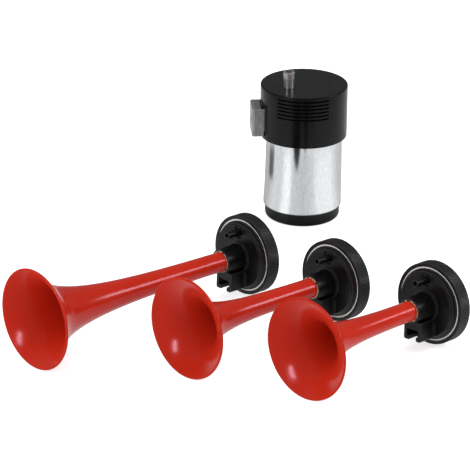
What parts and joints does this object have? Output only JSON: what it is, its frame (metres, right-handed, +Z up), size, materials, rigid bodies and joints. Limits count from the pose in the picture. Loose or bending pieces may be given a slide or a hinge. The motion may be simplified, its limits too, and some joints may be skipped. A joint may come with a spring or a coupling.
{
  "type": "air horn set",
  "caption": "Vehicle air horn set: flared red trumpets of different length on black diaphragm heads, with an upright electric vane compressor in a plated can.",
  "frame": {"origin": "on the floor, under the middle of the set's bounding box", "axes": "+Z up, bells towards -Y, +X from the long trumpet to the short one"},
  "size_m": [0.3042, 0.3622, 0.1184],
  "materials": {
    "red_plastic": "glossy moulded plastic",
    "head_plastic": "satin black moulded plastic",
    "cover_plastic": "smooth black moulded plastic",
    "plated_steel": "bright nickel plating on drawn steel",
    "zinc_steel": "zinc plated steel",
    "bright_steel": "bright rolled steel",
    "motor_steel": "ground steel",
    "ferrite": "sintered ferrite",
    "copper": "enamelled copper",
    "bronze": "sintered bronze",
    "pump_alloy": "machined aluminium",
    "carbon": "carbon",
    "card_board": "pressed phenolic board",
    "seal_rubber": "rubber",
    "gasket_fibre": "pressed fibre",
    "glue": "set whitish adhesive",
    "foam": "open foam",
    "tin_brass": "brass blade"
  },
  "bodies": {
    "compressor": {"base_cap": "cover_plastic", "motor_can": "plated_steel", "top_cover": "cover_plastic", "mounting_bracket": "zinc_steel", "outlet_nipple": "zinc_steel", "outlet_seal": "seal_rubber", "intake_filter": "foam", "magnet_right": "ferrite", "magnet_left": "ferrite", "lower_bush": "bronze", "upper_bush": "bronze", "lower_thrust_washer": "bronze", "brush_card": "card_board", "brush_right": "carbon", "brush_spring_right": "bright_steel", "brush_left": "carbon", "brush_spring_left": "bright_steel", "terminal_positive": "tin_brass", "terminal_negative": "tin_brass", "motor_end_plate": "zinc_steel", "pump_gasket": "gasket_fibre", "pump_lower_plate": "pump_alloy", "pump_ring": "motor_steel", "pump_upper_plate": "pump_alloy", "pump_screws": "motor_steel"},
    "rotor": {"motor_shaft": "motor_steel", "armature_core": "motor_steel", "armature_winding": "copper", "commutator": "copper", "core_spacer": "card_board", "upper_thrust_washer": "bronze", "pump_rotor": "pump_alloy", "vane_1": "carbon", "vane_2": "carbon", "vane_3": "carbon", "vane_4": "carbon"},
    "long_horn": {"long_trumpet": "red_plastic", "long_head_housing": "head_plastic", "long_glue_ring": "glue", "long_gasket": "gasket_fibre", "long_diaphragm": "bright_steel"},
    "long_ring": {"long_lock_ring": "bright_steel"},
    "long_cap": {"long_rear_cap": "head_plastic"},
    "middle_horn": {"middle_trumpet": "red_plastic", "middle_head_housing": "head_plastic", "middle_glue_ring": "glue", "middle_gasket": "gasket_fibre", "middle_diaphragm": "bright_steel"},
    "middle_ring": {"middle_lock_ring": "bright_steel"},
    "middle_cap": {"middle_rear_cap": "head_plastic"},
    "short_horn": {"short_trumpet": "red_plastic", "short_head_housing": "head_plastic", "short_glue_ring": "glue", "short_gasket": "gasket_fibre", "short_diaphragm": "bright_steel"},
    "short_ring": {"short_lock_ring": "bright_steel"},
    "short_cap": {"short_rear_cap": "head_plastic"}
  },
  "joints": [
    {"name": "rotor_spin", "type": "hinge", "parent": "compressor", "child": "rotor", "pos_m": [-0.11336, 0.14717, 0], "axis": [0, 0, 1], "continuous": true},
    {"name": "long_lift", "type": "slide", "parent": "compressor", "child": "long_horn", "axis": [0, 0, 1], "range_m": [0, 0.12]},
    {"name": "long_cap_travel", "type": "slide", "parent": "long_horn", "child": "long_ring", "axis": [0.0279, 0.9991, -0.0331], "range_m": [0, 0.0045]},
    {"name": "long_cap_turn", "type": "hinge", "parent": "long_ring", "child": "long_cap", "pos_m": [-0.03694, 0.0107, 0.0296], "axis": [0.0279, 0.9991, -0.0331], "range_deg": [0, 1080]},
    {"name": "middle_lift", "type": "slide", "parent": "compressor", "child": "middle_horn", "axis": [0, 0, 1], "range_m": [0, 0.12]},
    {"name": "middle_cap_travel", "type": "slide", "parent": "middle_horn", "child": "middle_ring", "axis": [0.0052, 0.999, -0.0447], "range_m": [0, 0.0045]},
    {"name": "middle_cap_turn", "type": "hinge", "parent": "middle_ring", "child": "middle_cap", "pos_m": [0.03896, 0.02553, 0.0297], "axis": [0.0052, 0.999, -0.0447], "range_deg": [0, 1080]},
    {"name": "short_lift", "type": "slide", "parent": "compressor", "child": "short_horn", "axis": [0, 0, 1], "range_m": [0, 0.12]},
    {"name": "short_cap_travel", "type": "slide", "parent": "short_horn", "child": "short_ring", "axis": [-0.0331, 0.9982, -0.0493], "range_m": [0, 0.0045]},
    {"name": "short_cap_turn", "type": "hinge", "parent": "short_ring", "child": "short_cap", "pos_m": [0.11211, 0.04875, 0.02974], "axis": [-0.0331, 0.9982, -0.0493], "range_deg": [0, 1080]}
  ],
  "couplings": [
    {"joint": "long_cap_travel", "follows": "long_cap_turn", "m_per_rad": 0.00023873},
    {"joint": "middle_cap_travel", "follows": "middle_cap_turn", "m_per_rad": 0.00023873},
    {"joint": "short_cap_travel", "follows": "short_cap_turn", "m_per_rad": 0.00023873}
  ]
}
